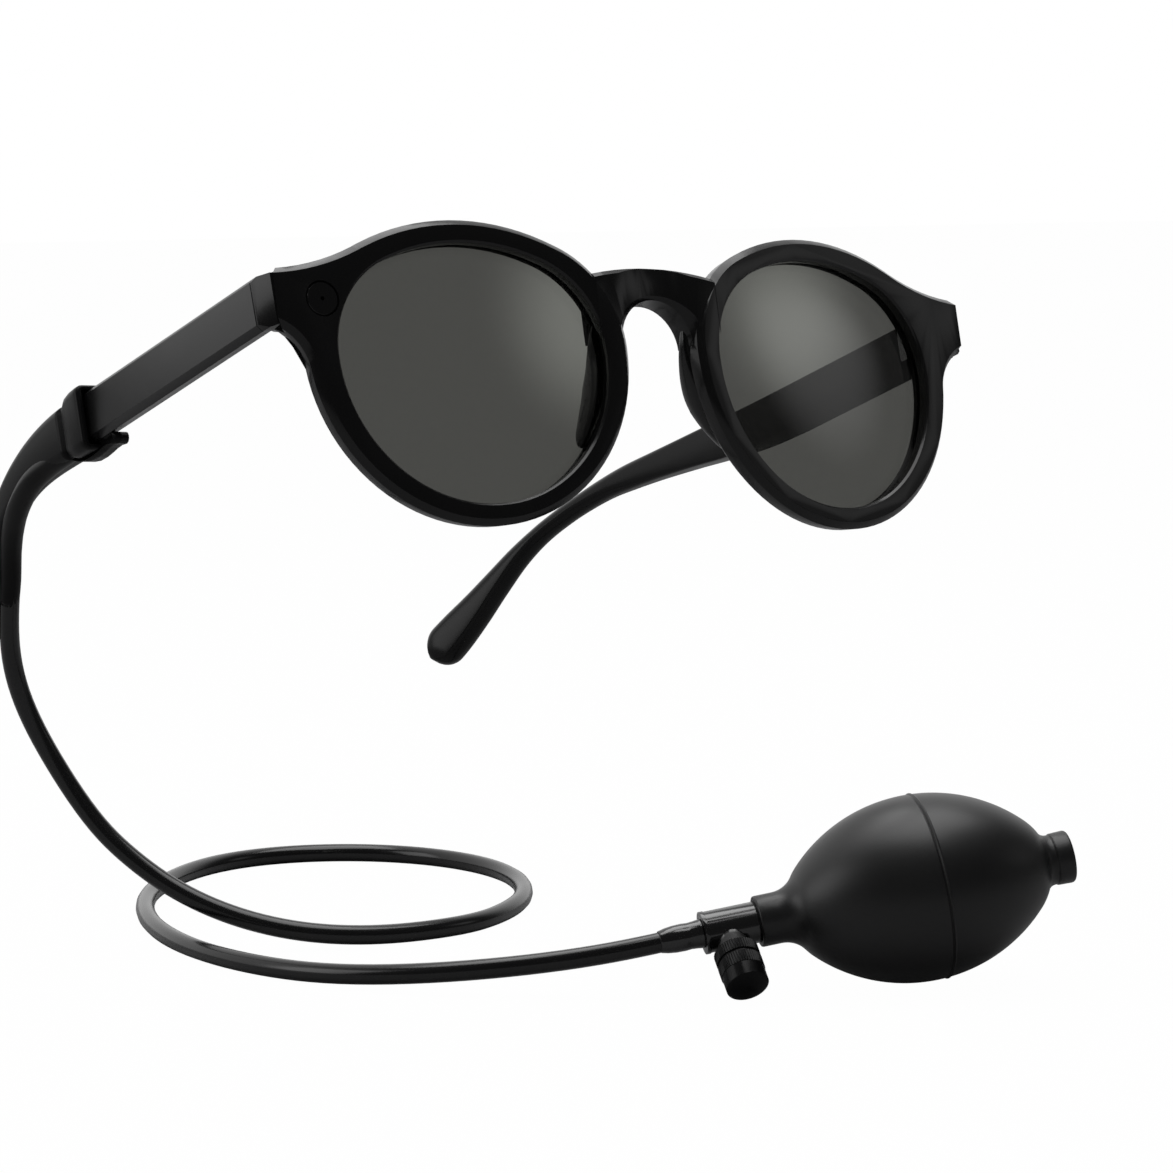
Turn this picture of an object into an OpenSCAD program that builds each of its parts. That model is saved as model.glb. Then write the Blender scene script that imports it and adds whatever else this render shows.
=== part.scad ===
// Water squirting prank glasses: round sunglasses, a hose behind the ear and a squeeze bulb with a release valve.
// Millimetres, +Z up. The origin is the nose rest, midway between the two nose pads.

/* [Stance] */
// how far the temple tips are pitched below the front, degrees
pitch = 21.5; // [0:0.5:35]
// sideways lean of the glasses, degrees
roll = 3.5; // [-10:0.5:10]

/* [Lenses] */
// distance of each lens centre from the middle
lens_cx = 36.3; // [32:0.1:40]
// half width of the lens opening
lens_w = 24.65; // [20:0.05:28]
// top of the lens opening above its centre
lens_top = 20.8; // [16:0.1:24]
// height of the widest line of the lens above its centre
lens_mid = 2.2; // [0:0.1:5]
// corner radius of the upper lens edge
lens_shoulder = 17; // [12:0.5:19]
// lens thickness
lens_t = 1.8; // [1.4:0.1:2.6]
// depth of the lens groove in the rim
groove = 0.7; // [0.4:0.1:1]
// how far the lens sits behind the front face
lens_set = 1.9; // [1:0.1:2.6]

/* [Front] */
// half width of the rim outline
rim_w = 29.4; // [26:0.1:33]
// top of the rim above the lens centre
rim_top = 24.7; // [22:0.1:28]
// height of the widest line of the rim
rim_mid = 3.4; // [0:0.1:6]
// corner radius of the upper rim edge
rim_shoulder = 18.8; // [14:0.1:21]
// outward shift of the rim outline from the lens
rim_shift = 0.4; // [-1:0.1:2]
// front to back thickness of the rim
rim_t = 4.4; // [3.5:0.1:6]
// bevel along the outer front edge
rim_bevel = 1.0; // [0.3:0.1:1.6]
// wrap of each half, degrees
wrap = 6; // [0:0.5:10]
// lean of the front against the temples, degrees
panto = 4.5; // [0:0.5:10]
// top of the bridge above the lens centre line
bridge_top = 17.3; // [14:0.1:20]
// radius of the keyhole under the bridge
keyhole_r = 7.3; // [5:0.1:9]
// height of the keyhole centre
keyhole_z = 4.8; // [0:0.1:6]
// how far the bridge is set back from the rims
bridge_set = 0.5; // [0:0.1:1.5]

/* [Nozzle] */
// radius of the round nozzle cap
nozzle_r = 2.8; // [2:0.05:4]
// outward place of the nozzle on the endpiece
nozzle_u = 26.6; // [25:0.1:30]
// height of the nozzle
nozzle_v = 11.1; // [6:0.1:14]
// radius of the water hole
orifice_r = 0.35; // [0.2:0.05:0.8]

/* [Temples] */
// outer face of each temple from the middle
arm_x = 72.5; // [66:0.1:78]
// thickness of a temple
arm_t = 4.2; // [3:0.1:6]
// top of the temple
arm_top = 15.9; // [12:0.1:20]
// underside of the temple at the hinge
arm_bottom = 7.2; // [3:0.1:9]
// size of the bevel along the lower outer edge
arm_bevel = 1.0; // [0.5:0.1:3]
// rise of the underside towards the inner face
arm_rise = 1.1; // [0:0.1:2]
// joint line between the front and the temple
seam_y = 7; // [5:0.1:10]
// gap at the joint line
seam_gap = 0.15; // [0.1:0.05:0.4]
// lean of the temples towards each other, degrees
splay = 0.8; // [0:0.1:4]
// length of the left temple behind the joint line
left_len = 142.5; // [120:1:150]
// where the left temple starts to bend behind the ear
left_bend = 92; // [70:1:110]
// drop of the left temple tip
left_drop = 19.5; // [5:1:40]
// inward curve of the left temple tip
left_in = 17.5; // [0:1:25]
// height of the left temple at its waist
waist_h = 5.0; // [4:0.1:9]
// height of the left temple at its paddle
paddle_h = 8.6; // [6:0.1:12]
// length of the right temple in front of the hose boot
right_len = 55.5; // [40:0.5:80]
// length of the tongue that the boot is pushed onto
tongue_l = 12; // [6:0.5:20]
// radius of the water tube in the right temple
water_r = 0.9; // [0.6:0.05:1.2]

/* [Hinges] */
// hinge axis from the middle
hinge_x = 67.3; // [60:0.1:70]
// hinge axis behind the front plane
hinge_y = 8.7; // [7.5:0.1:12]
// barrel radius
barrel_r = 1.5; // [1.2:0.1:2.2]
// hinge screw radius
screw_r = 0.62; // [0.5:0.01:0.9]
// running clearance round the hinge screw
screw_gap = 0.03; // [0.01:0.01:0.1]
// lowest point of the hinge barrels
barrel_z0 = 7.4; // [6:0.1:9]
// height of the three barrels together
barrel_h = 7.5; // [5:0.1:9]
// gap between two barrels
barrel_gap = 0.12; // [0.05:0.01:0.3]

/* [Hose boot] */
// overlap of the boot collar over the end of the right temple
boot_over = 0.5; // [0.3:0.1:2]
// height of the boot collar
collar_h = 11; // [11:0.1:16]
// thickness of the boot collar
collar_t = 7.0; // [6:0.1:10]
// length of the boot collar
collar_l = 7; // [4:0.5:10]
// length of the ear hook behind the collar
hook_l = 58; // [40:1:80]
// drop of the ear hook
hook_drop = 20.5; // [10:1:50]
// inward curve of the ear hook
hook_in = 8; // [0:1:25]

/* [Hose] */
// outside diameter of the hose
hose_d = 3.5; // [3:0.1:6]
// sides of the hose section
hose_n = 8; // [8:1:12]

/* [Squeeze bulb] */
// greatest radius of the bulb
bulb_r = 16; // [12:0.5:24]
// half length of the bulb body
bulb_a = 23.3; // [18:0.1:34]
// radius of the bulb's end curves
bulb_end_r = 11; // [8:0.5:16]
// wall thickness of the bulb
bulb_wall = 1.8; // [1.2:0.1:3]
// radius of the bulb neck
neck_r = 4.4; // [3.5:0.1:6]
// radius of the rear collar of the bulb
tail_r = 4.5; // [3.5:0.1:6]

/* [Valve] */
// radius of the valve body
valve_r = 3.55; // [3:0.1:5]
// length of the valve body
valve_l = 9.6; // [8:0.1:14]
// radius of the release knob
knob_r = 3.85; // [3:0.05:6]
// length of the release knob
knob_l = 8.3; // [6:0.1:12]
// turn of the knob away from straight down, degrees
knob_turn = 50; // [0:5:90]
// number of knurls round the knob
knurls = 54; // [20:1:60]
// radius of the valve stem
stem_r = 1.2; // [0.8:0.05:1.6]
// radius of the outlet ball
outlet_ball_r = 1.3; // [0.8:0.05:1.6]
// radius of the inlet ball
inlet_ball_r = 1.5; // [1:0.05:1.8]
// free travel of each ball
ball_travel = 0.8; // [0.4:0.1:1.5]

/* [Hidden] */
$fn = 96;
lens_o = [lens_w, lens_top, lens_mid, lens_shoulder, 0];
rim_o = [rim_w, rim_top, rim_mid, rim_shoulder, rim_shift];
arm_in = arm_x - arm_t;
rim_xs = rim_w - rim_shoulder;
rim_hh = rim_top - rim_mid;
rim_rt = (rim_hh * rim_hh + rim_xs * rim_xs - rim_shoulder * rim_shoulder) / (2 * (rim_hh - rim_shoulder));
top_hollow = [37, 56.4];
top_run = top_hollow - [rim_shift, rim_top - rim_rt];
top_hollow_r = norm(top_run) - rim_rt + 0.02;
top_leave = [rim_shift, rim_top - rim_rt] + rim_rt * top_run / norm(top_run);
low_hollow = [38.2, -1.2];
low_run = low_hollow - [rim_shift, rim_mid];
low_hollow_r = norm(low_run) - rim_w + 0.02;
low_leave = [rim_shift, rim_mid] + rim_w * low_run / norm(low_run);
bridge_dip = 0.8;
bridge_sweep = 35;
boot_y = right_len - boot_over;
barrel_one = (barrel_h - 2 * barrel_gap) / 3;
tongue_y = seam_y + seam_gap + right_len;
hose_r = hose_d / 2;
elbow_l = 3.2;
elbow_r = 0.8;
pump_at = [44, -13, -89.2];
pump_turn = [0, -10, -26];
collar_out = 0.4;
collar_z = (arm_top + arm_bottom) / 2 - 0.15;
body_s = 1.8;
seam_s = 3.4;
big_r = (pow(bulb_a - bulb_end_r, 2) + bulb_r * bulb_r - bulb_end_r * bulb_end_r) / (2 * (bulb_r - bulb_end_r));
neck_fillet = 5;
fillet_s = body_s - (bulb_a - bulb_end_r)
    - sqrt(pow(bulb_end_r + neck_fillet, 2) - pow(neck_r + neck_fillet, 2));
tail_neck_r = tail_r - 0.5;
tail_fillet = 2;
tail_fillet_s = body_s + bulb_a - bulb_end_r
    + sqrt(pow(bulb_end_r + tail_fillet, 2) - pow(tail_neck_r + tail_fillet, 2));
tail_contact_r = (tail_neck_r + tail_fillet) * bulb_end_r / (bulb_end_r + tail_fillet);
nose_l = 6.5;
nose_r = neck_r - 1.45;
neck_s = -26.9;
tail_s = 28.8;
valve_s = neck_s - valve_l;
ferrule_l = 7.5;
knob_s = -32.1;
boss_r = 2.6;
boss_t = 4.7;
knob_t = boss_t + 0.3;

// points the hose lies along, from inside the boot to the ferrule
route = [
    [-65.5, 101.5, -38.5], [-63, 105.5, -47], [-61, 108, -55], [-58.5, 108, -63], [-55, 106.5, -72],
    [-50, 101, -83], [-46, 96.5, -88.5], [-41.5, 91.5, -93.5], [-36, 86, -97.5], [-29.5, 81, -100.5],
    [-22, 76, -102.5], [-13.5, 72.5, -103.5], [-4, 71, -104], [7, 71, -104], [15, 73, -104],
    [23, 77.5, -104], [32, 84.5, -104], [39.5, 93.5, -104], [45.5, 103.5, -104], [49.5, 115, -104],
    [50.5, 127, -104], [47.5, 139.5, -104], [40, 150, -104], [29.5, 156, -104], [18, 157.5, -104],
    [5, 154, -104], [-9.5, 143.5, -104], [-20.5, 132, -104], [-30, 117, -104], [-37, 101, -104],
    [-41, 85, -104], [-42, 70, -104], [-39.5, 54.5, -104], [-34, 41, -103.5], [-24, 27, -102],
    [-11, 15.5, -100], [0, 8.5, -98], [10, 3.5, -95.8]];

// points the moulded hose sleeve of the boot lies along
sleeve_way = [
    [-72, 64, -10.5], [-72, 69.5, -13], [-72, 77, -16], [-71.5, 83, -19.5], [-70, 89.5, -24.5],
    [-68.5, 94.5, -29], [-67, 98.5, -33.5], [-65.5, 101.5, -38.5], [-64, 104, -43]];
mouth_home = 62;
arm_way = [-sin(pitch) * sin(roll), cos(pitch), -sin(pitch) * cos(roll)];
sleeve = [for (i = [0 : 8]) sleeve_way[i] + (seam_y + boot_y - mouth_home) * (1 - i / 8) * arm_way];

// Shared places and shapes.

module glasses() {
    rotate([0, roll, 0]) rotate([-pitch, 0, 0]) children();
}

module leaned() {
    glasses() rotate([panto, 0, 0]) children();
}

module side(s) {
    mirror([s < 0 ? 1 : 0, 0, 0]) children();
}

module half(s) {
    side(s) translate([lens_cx, 0, 0]) rotate([0, 0, wrap]) children();
}

module pump() {
    translate(pump_at) rotate(pump_turn) children();
}

module along_x(s) {
    translate([s, 0, 0]) rotate([0, 90, 0]) children();
}

module knob_axis() {
    pump() translate([knob_s, 0, 0]) rotate([180 - knob_turn, 0, 0]) children();
}

// A round eyeglass outline of blended arcs, solid from y0 to y1, grown by g0 at y0 and g1 at y1.
// The top arc lies a hair inside the side arcs, so that each pair crosses and blends at a clean line.
module oval(o, y0, y1, g0, g1) {
    xs = o[0] - o[3];
    hh = o[1] - o[2];
    rt = (hh * hh + xs * xs - o[3] * o[3]) / (2 * (hh - o[3]));
    ct = o[1] - rt;
    dir = 40 * unit([xs, o[2] - ct]);
    h = y1 - y0;
    translate([o[4], y1, 0]) rotate([90, 0, 0]) {
        intersection() {
            translate([0, o[2], 0]) cylinder(h = h, r1 = o[0] + g1, r2 = o[0] + g0);
            translate([-60, o[2] - 60, -1]) cube([120, 60, h + 2]);
        }
        for (sx = [0, 1]) mirror([sx, 0, 0]) intersection() {
            translate([xs, o[2], 0]) cylinder(h = h, r1 = o[3] + g1, r2 = o[3] + g0);
            translate([-60, o[2], -1]) cube([120, 60, h + 2]);
        }
        intersection() {
            translate([0, ct, 0]) cylinder(h = h, r1 = rt + g1 - 0.02, r2 = rt + g0 - 0.02);
            translate([0, o[2], -1]) linear_extrude(h + 2)
                polygon([[xs, 0], [xs, 0] + dir, [-xs - dir[0], dir[1]], [-xs, 0]]);
        }
    }
}

function lerp(a, b, t) = a + (b - a) * t;
function ease(t) = let (u = max(0, min(1, t))) u * u * (3 - 2 * u);
function unit(v) = v / norm(v);

// Points of a smooth curve through p, n steps between two points.
function through(p, n) = [for (i = [0 : len(p) - 2], j = [0 : n - 1])
    let (a = p[max(i - 1, 0)], b = p[i], c = p[i + 1], d = p[min(i + 2, len(p) - 1)], t = j / n)
    0.5 * (2 * b + (c - a) * t + (2 * a - 5 * b + 4 * c - d) * t * t + (3 * b - a - 3 * c + d) * t * t * t),
    p[len(p) - 1]];

function heading(q, i) = unit(q[min(i + 1, len(q) - 1)] - q[max(i - 1, 0)]);

// Carries a cross direction along the curve q without twist.
function carried(q, i, v) = let (t = heading(q, i), w = unit(v - (v * t) * t))
    i == len(q) - 1 ? [w] : concat([w], carried(q, i + 1, w));

// A tube along q with radius r(i) from the list rr and n sides.
module tube(q, rr, n) {
    m = len(q);
    side0 = carried(q, 0, [0.3, -0.2, 1]);
    pts = [for (i = [0 : m - 1], j = [0 : n - 1])
        let (a = 360 * j / n, u = side0[i], v = cross(heading(q, i), u))
        q[i] + rr[i] * (cos(a) * u + sin(a) * v)];
    rings(pts, m, n);
}

// Joins m closed rings of n points each into one solid.
module rings(pts, m, n) {
    polyhedron(pts, concat(
        [[for (j = [0 : n - 1]) j]],
        [for (i = [0 : m - 2], j = [0 : n - 1])
            [i * n + j, (i + 1) * n + j, (i + 1) * n + (j + 1) % n]],
        [for (i = [0 : m - 2], j = [0 : n - 1])
            [i * n + j, (i + 1) * n + (j + 1) % n, i * n + (j + 1) % n]],
        [[for (j = [n - 1 : -1 : 0]) (m - 1) * n + j]]), convexity = 8);
}

// Front.

// Section of a temple seen along its length: flat outer face, small top bevel, wide lower bevel.
module arm_section(inner) {
    polygon([[inner, arm_bottom + arm_rise], [arm_x - arm_bevel, arm_bottom],
        [arm_x, arm_bottom + arm_bevel], [arm_x, arm_top - 0.6], [arm_x - 0.5, arm_top],
        [inner + 0.4, arm_top], [inner, arm_top - 0.4]]);
}

// A hollow edge in the front plane about [u, v], with the same bevels front and back as the rim has.
module hollow_edge(c, r) {
    translate([c[0], rim_bevel, c[1]]) rotate([90, 0, 0]) cylinder(h = rim_bevel + 0.01, r1 = r, r2 = r + rim_bevel);
    translate([c[0], rim_t - 0.9, c[1]]) rotate([90, 0, 0])
        cylinder(h = rim_t - 0.89 - rim_bevel, r1 = r + 0.4, r2 = r);
    translate([c[0], rim_t + 0.01, c[1]]) rotate([90, 0, 0]) cylinder(h = 0.92, r1 = r + 1.2, r2 = r + 0.4);
}

// The endpiece: the rim grown out to the hinge, with a hollow upper and lower edge that leave the rim smoothly.
module endpiece() {
    difference() {
        translate([0, rim_t, 0]) rotate([90, 0, 0]) linear_extrude(rim_t)
            polygon([[top_leave[0], low_leave[1]], top_leave, [top_leave[0] + 1, 23.4], [34.7, 23.4],
                [35.3, 9], [35.2, low_leave[1]]]);
        hollow_edge(top_hollow, top_hollow_r);
        hollow_edge(low_hollow, low_hollow_r);
        // bevel down the outer front edge
        translate([35.2, 0, 0]) rotate([0, 0, 45]) translate([-0.25, -3, -10]) cube([6, 6, 40]);
    }
}

module wrap_block() {
    intersection() {
        translate([0, 0, arm_bottom - 1]) linear_extrude(arm_top - arm_bottom + 2)
            polygon([[61, 4.2], [68, 3.4], [70.8, 3.6], [arm_x, seam_y - 0.4], [arm_x, seam_y], [61, seam_y]]);
        translate([0, seam_y, 0]) rotate([90, 0, 0]) linear_extrude(6) arm_section(60);
    }
}

// One moulded nose pad, a smooth fin on the inner back edge of the rim.
module nose_pad() {
    hull() {
        translate([8.8, 0.8, 5.2]) sphere(1.6, $fn = 28);
        translate([9.5, 3.0, 1.6]) sphere(1.8, $fn = 28);
        translate([11.4, 4.4, -4.5]) sphere(1.9, $fn = 28);
        translate([14.3, 2.8, -9.5]) sphere(1.8, $fn = 28);
        translate([10.9, 1.2, -3.0]) sphere(2.2, $fn = 28);
    }
}

// The bridge: an arch between the rims, hollowed across its front and bevelled along the keyhole and the top.
module bridge() {
    b0 = -sin(wrap) * (rim_w - rim_shift) + bridge_set;
    difference() {
        translate([0, 3.1, 0]) rotate([90, 0, 0]) linear_extrude(3.1 - b0) difference() {
            intersection() {
                translate([-12.5, keyhole_z]) square([25, 20]);
                translate([0, bridge_top - 60]) circle(60);
            }
            translate([0, keyhole_z]) circle(keyhole_r);
        }
        translate([0, b0 + bridge_dip - bridge_sweep, 0]) cylinder(h = 40, r = bridge_sweep);
        translate([0, b0 + bridge_dip + 0.6, keyhole_z]) rotate([90, 0, 0])
            cylinder(h = 4.2, r1 = keyhole_r, r2 = keyhole_r + 4.2);
        translate([0, b0 + 0.7, bridge_top - 60]) rotate([90, 0, 0]) difference() {
            cylinder(h = 3, r = 66);
            translate([0, 0, -0.01]) cylinder(h = 3.02, r1 = 60, r2 = 57);
        }
    }
}

module rim_body() {
    oval(rim_o, 0, rim_bevel, -rim_bevel, 0);
    oval(rim_o, rim_bevel, rim_t - 0.9, 0, -0.4);
    oval(rim_o, rim_t - 0.9, rim_t, -0.4, -1.2);
}

module rim_cut() {
    oval(lens_o, -1, rim_t + 1, 0, 0);
    oval(lens_o, -0.01, 0.35, 0.36, 0);
    oval(lens_o, lens_set, lens_set + lens_t, groove, groove);
}

module front_frame() {
    color([0.035, 0.035, 0.038]) difference() {
        union() {
            for (s = [-1, 1]) {
                leaned() half(s) rim_body();
                leaned() half(s) endpiece();
                glasses() side(s) wrap_block();
                leaned() side(s) nose_pad();
            }
            leaned() bridge();
        }
        for (s = [-1, 1]) {
            leaned() half(s) rim_cut();
            leaned() side(s) leaf_pocket();
            glasses() side(s) translate([60, seam_y, -2]) cube([16, 9, 26]);
        }
        leaned() half(-1) {
            nozzle_bore(nozzle_r + 0.15, -1, 2.0);
            nozzle_bore(1.0, 1.9, 3.6);
            translate([nozzle_u, 2.9, nozzle_v]) along_x(-1.1) cylinder(h = elbow_l + 2.1, r = elbow_r + 0.06);
            translate([nozzle_u + elbow_l - elbow_r, 6, nozzle_v]) rotate([90, 0, 0])
                cylinder(h = 3.1, r = elbow_r + 0.06);
        }
    }
}

module nozzle_bore(r, y0, y1) {
    translate([nozzle_u, y1, nozzle_v]) rotate([90, 0, 0]) cylinder(h = y1 - y0, r = r);
}

module lens(s) {
    color([0.16, 0.16, 0.165, 0.75]) leaned() half(s)
        oval(lens_o, lens_set + 0.03, lens_set + lens_t - 0.03, groove - 0.05, groove - 0.05);
}

module lens_right() {
    lens(-1);
}

module lens_left() {
    lens(1);
}

module nozzle_cap() {
    color([0.04, 0.04, 0.043]) leaned() half(-1) difference() {
        union() {
            nozzle_bore(nozzle_r, 0.25, 1.95);
            translate([nozzle_u, 0.25, nozzle_v]) rotate([90, 0, 0])
                cylinder(h = 0.25, r1 = nozzle_r, r2 = nozzle_r - 0.2);
        }
        nozzle_bore(orifice_r, -1, 3);
        nozzle_bore(0.95, 1.2, 3);
    }
}

module nozzle_jet() {
    color([0.72, 0.56, 0.3]) leaned() half(-1) difference() {
        union() {
            nozzle_bore(0.92, 1.25, 2.05);
            nozzle_bore(0.55, 2.0, 2.6);
        }
        nozzle_bore(0.25, 1, 3);
    }
}

// The elbow that brings the water to the jet; its outlet stub stands out of the back of the endpiece.
module water_elbow() {
    color([0.7, 0.72, 0.74]) leaned() half(-1) difference() {
        union() {
            translate([nozzle_u, 2.9, nozzle_v]) along_x(-1.0) cylinder(h = elbow_l + 1.0, r = elbow_r);
            translate([nozzle_u + elbow_l - elbow_r, rim_t + 1.2, nozzle_v]) rotate([90, 0, 0])
                cylinder(h = rim_t - 1.7, r = elbow_r);
        }
        translate([nozzle_u, 2.9, nozzle_v]) along_x(-0.5) cylinder(h = elbow_l + 0.1, r = 0.4);
        nozzle_bore(0.62, 1, 2.9);
        translate([nozzle_u + elbow_l - elbow_r, rim_t + 2, nozzle_v]) rotate([90, 0, 0])
            cylinder(h = rim_t - 0.9, r = 0.4);
    }
}

// Hinges.

module barrel(k) {
    translate([hinge_x, hinge_y, barrel_z0 + k * (barrel_one + barrel_gap)]) cylinder(h = barrel_one, r = barrel_r);
}

module leaf_pocket() {
    translate([hinge_x - 0.68, seam_y - 3.4, barrel_z0 - 0.08]) cube([1.36, 3.8, barrel_h + 0.16]);
    translate([hinge_x, hinge_y, barrel_z0 - 0.15]) cylinder(h = barrel_h + 0.3, r = barrel_r + 0.15);
}

module screw_hole(extra) {
    translate([hinge_x, hinge_y, barrel_z0 - 1]) cylinder(h = barrel_h + 2, r = screw_r + extra);
}

module leaf_front(s) {
    color([0.62, 0.62, 0.64]) leaned() side(s) difference() {
        union() {
            translate([hinge_x - 0.6, seam_y - 3.3, barrel_z0]) cube([1.2, hinge_y - seam_y + 3.3, barrel_h]);
            barrel(0);
            barrel(2);
        }
        translate([hinge_x - 2, hinge_y - barrel_r - 0.25, barrel_z0 + barrel_one])
            cube([4, 2 * barrel_r + 1, barrel_one + 2 * barrel_gap]);
        screw_hole(screw_gap);
        translate([hinge_x, hinge_y, barrel_z0 + barrel_h - 0.75]) cylinder(h = 1, r = 1.05);
    }
}

module hinge_leaf_front_right() {
    leaf_front(-1);
}

module hinge_leaf_front_left() {
    leaf_front(1);
}

module hinge_screw(s) {
    color([0.7, 0.7, 0.72]) leaned() side(s) difference() {
        union() {
            translate([hinge_x, hinge_y, barrel_z0 + 0.1]) cylinder(h = barrel_h - 0.3, r = screw_r);
            translate([hinge_x, hinge_y, barrel_z0 + barrel_h - 0.72]) cylinder(h = 0.6, r = 1.0);
        }
        translate([hinge_x, hinge_y, barrel_z0 + barrel_h]) cube([2.4, 0.3, 0.6], center = true);
    }
}

module hinge_screw_right() {
    hinge_screw(-1);
}

module hinge_screw_left() {
    hinge_screw(1);
}

module leaf_temple(s) {
    color([0.62, 0.62, 0.64]) leaned() side(s) difference() {
        union() {
            barrel(1);
            translate([hinge_x, hinge_y - 0.5, barrel_z0 + barrel_one + barrel_gap])
                cube([1.7, 3.4, barrel_one]);
            translate([hinge_x + 0.7, hinge_y + 2.0, barrel_z0 + 0.9]) cube([1.2, 7, barrel_h - 1.8]);
        }
        screw_hole(screw_gap);
    }
}

module hinge_leaf_temple_right() {
    leaf_temple(-1);
}

module hinge_leaf_temple_left() {
    leaf_temple(1);
}

// The room that the hinge takes out of a temple.
module temple_hinge_cut() {
    translate([hinge_x, hinge_y, barrel_z0 - 0.2]) cylinder(h = barrel_h + 0.4, r = barrel_r + 0.2);
    translate([hinge_x - 2, hinge_y - 3, barrel_z0 - 0.2]) cube([3.0, 3, barrel_h + 0.4]);
    translate([hinge_x - 0.06, hinge_y - 0.56, barrel_z0 + barrel_one + barrel_gap - 0.06])
        cube([1.82, 3.52, barrel_one + 0.12]);
    translate([hinge_x + 0.64, hinge_y + 1.94, barrel_z0 + 0.84]) cube([1.32, 7.12, barrel_h - 1.68]);
}

// Temples.

module leaning_arm(s) {
    glasses() side(s) translate([arm_x, seam_y, 0]) rotate([0, 0, splay]) translate([-arm_x, -seam_y, 0]) children();
}

module arm(len) {
    translate([0, seam_y + seam_gap + len, 0]) rotate([90, 0, 0]) linear_extrude(len) arm_section(arm_in);
}

left_straight = 42;
function left_u(y) = (y - left_bend) / (left_len - left_bend);
function left_top(y) = arm_top + 0.6 * ease((y - left_straight) / 40)
    - left_drop * pow(max(0, left_u(y)), 1.9) * 0.82 - 2.0 * ease((left_u(y) - 0.9) / 0.1);
function left_h(y) = y < left_bend
    ? lerp(arm_top - arm_bottom, waist_h, ease((y - left_straight) / (left_bend - left_straight)))
    : lerp(waist_h, paddle_h, ease(left_u(y) / 0.75));
function left_close(y) = sqrt(max(0.04, 1 - pow(max(0, (y - left_len + 5) / 5), 2)));
function left_shift(y) = left_in * pow(max(0, (y - 62) / (left_len - 62)), 2.2);
function left_thick(y) = lerp(arm_t, 3.4, ease((y - 50) / 60)) * (0.35 + 0.65 * left_close(y));

// Half profile of a temple with bevelled corners, given height h and thickness t.
function arm_ring(h, t) = let (b = arm_bevel * min(1, h / 9), e = 0.5 * min(1, h / 4)) [
    [-t / 2, h / 2 - e], [-t / 2 + e, h / 2], [t / 2 - e, h / 2], [t / 2, h / 2 - 1.2 * e],
    [t / 2, -h / 2 + b], [t / 2 - b, -h / 2], [-t / 2 + e, -h / 2], [-t / 2, -h / 2 + e]];

module ear_left() {
    n = 34;
    ys = [for (i = [0 : n]) left_straight + (left_len - left_straight) * (1 - pow(1 - i / n, 1.7))];
    pts = [for (y = ys) let (h = left_h(y) * left_close(y), t = left_thick(y),
            zc = left_top(y) - left_h(y) / 2, xc = arm_x - arm_t / 2 - left_shift(y))
        for (p = arm_ring(h, t)) [xc + p[0], seam_y + seam_gap + y, zc + p[1]]];
    rings(pts, n + 1, 8);
}

module temple_left() {
    color([0.035, 0.035, 0.038]) difference() {
        leaning_arm(1) {
            arm(left_straight);
            ear_left();
        }
        leaned() temple_hinge_cut();
    }
}

module water_bore(y0, y1, r) {
    translate([arm_x - arm_t / 2, y1, (arm_top + arm_bottom) / 2]) rotate([90, 0, 0]) cylinder(h = y1 - y0, r = r);
}

module temple_right() {
    color([0.07, 0.07, 0.073]) difference() {
        leaning_arm(-1) {
            arm(right_len);
            translate([arm_x - arm_t + 0.6, tongue_y - 1, arm_bottom + 1]) cube([3.0, tongue_l + 1, 5.6]);
        }
        leaned() side(-1) temple_hinge_cut();
        leaning_arm(-1) water_bore(17, 90, water_r + 0.04);
    }
}

// The stiff metal tube that carries the water through the temple from the boot to the hinge.
module water_tube() {
    color([0.7, 0.72, 0.74]) leaning_arm(-1) difference() {
        water_bore(17.2, tongue_y + tongue_l + 2.5, water_r);
        water_bore(16, 90, water_r - 0.35);
    }
}

// Boot and hose.

function hook_c(t) = [arm_x - arm_t / 2 - hook_in * pow(t, 2.2),
    seam_y + boot_y + collar_l - 1 + hook_l * (t - 0.03 * pow(t, 3)),
    collar_z + 0.1 - hook_drop * pow(t, 2.1)];
function hook_h(t) = lerp(8.8, 5.4, ease(t / 0.45)) * hook_close(t);
function hook_t(t) = lerp(5.2, 4.2, ease(t)) * hook_close(t);
function hook_close(t) = sqrt(max(0.06, 1 - pow(max(0, (t - 0.93) / 0.07), 2)));
function corner_ring(h, w, e) = [
    [-w / 2, h / 2 - e], [-w / 2 + 0.3 * e, h / 2 - 0.3 * e], [-w / 2 + e, h / 2],
    [w / 2 - e, h / 2], [w / 2 - 0.3 * e, h / 2 - 0.3 * e], [w / 2, h / 2 - e],
    [w / 2, -h / 2 + e], [w / 2 - 0.3 * e, -h / 2 + 0.3 * e], [w / 2 - e, -h / 2],
    [-w / 2 + e, -h / 2], [-w / 2 + 0.3 * e, -h / 2 + 0.3 * e], [-w / 2, -h / 2 + e]];

module ear_hook() {
    n = 26;
    pts = [for (i = [0 : n]) let (t = i / n, c = hook_c(t), d = unit(hook_c(min(1, t + 0.02)) - hook_c(max(0, t - 0.02))),
            up = unit([0, -d[2], d[1]]), h = hook_h(t), w = hook_t(t), e = min(1.6, w / 3) * hook_close(t))
        for (p = corner_ring(h, w, e)) c + p[0] * unit(cross(d, up)) + p[1] * up];
    rings(pts, n + 1, 12);
}

module lug_outline() {
    mouth = seam_y + boot_y;
    polygon([for (p = [[-7.2, 0.15], [-6.6, -0.6], [-5.2, -1.0], [1.0, -1.0], [5.6, -1.3], [9.3, -0.4], [11, 1.2],
            [11, 2.8], [-0.1, 2.8], [-0.1, 0.15]]) [mouth + p[0], arm_bottom + p[1]]]);
}

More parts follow.
